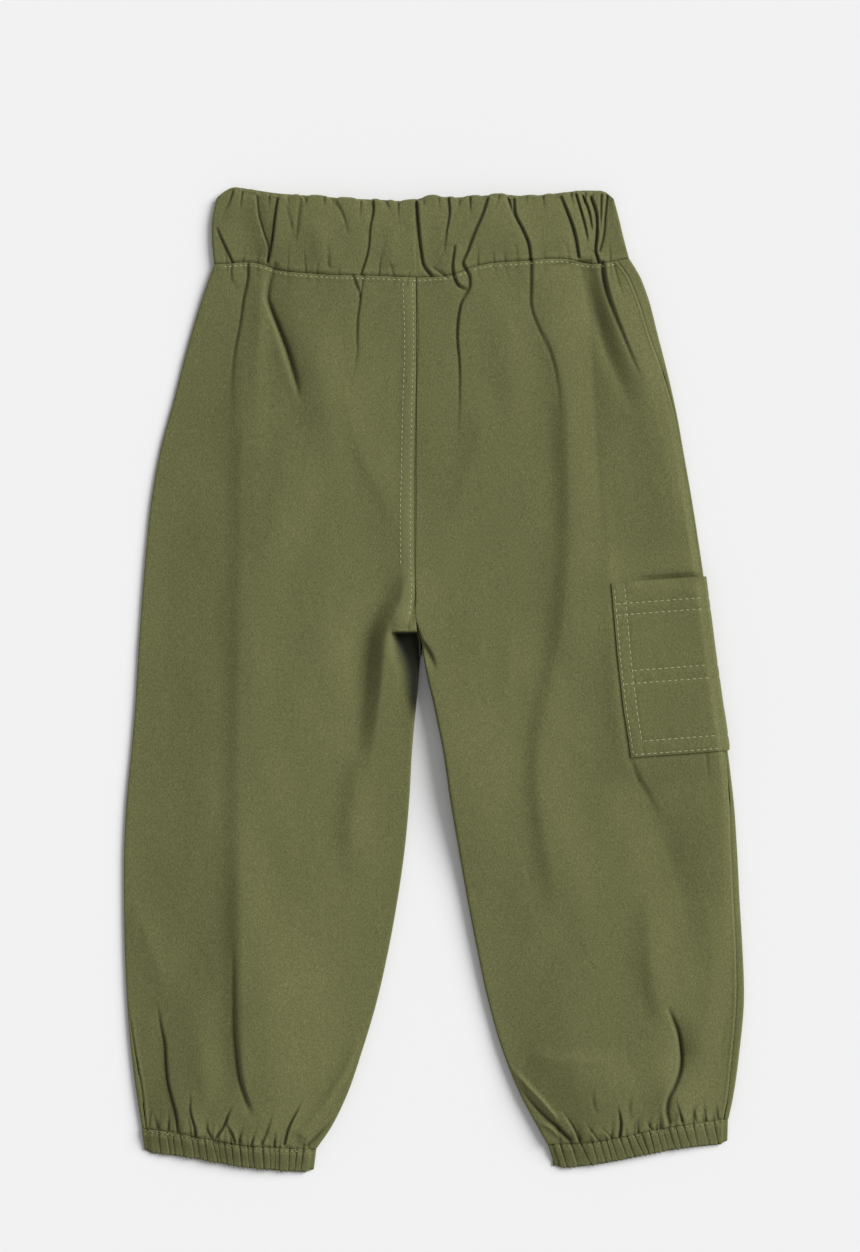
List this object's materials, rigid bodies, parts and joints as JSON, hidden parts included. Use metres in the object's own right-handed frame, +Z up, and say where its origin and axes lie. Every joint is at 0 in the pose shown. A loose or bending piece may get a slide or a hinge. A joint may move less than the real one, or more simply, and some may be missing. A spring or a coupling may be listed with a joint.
{
  "type": "cargo pants",
  "caption": "Toddler's elasticated cotton cargo pants with gathered hems and a patch pocket on one leg, laid flat with the back upwards.",
  "frame": {"origin": "the middle of the garment's underside, on the surface that it lies on", "axes": "+X across, towards the wearer's right leg; +Y up the garment, towards the waistband; +Z up from the surface, out of the back"},
  "size_m": [0.3405, 0.5401, 0.0118],
  "materials": {
    "olive_cotton": "matt, soft, fine plain weave of cotton, slightly brushed, in olive green"
  },
  "bodies": {
    "root": {"back_left": "olive_cotton", "back_right": "olive_cotton", "front_left": "olive_cotton", "front_right": "olive_cotton", "waistband": "olive_cotton", "hem_left": "olive_cotton", "hem_right": "olive_cotton", "cargo_pocket": "olive_cotton"}
  },
  "joints": []
}
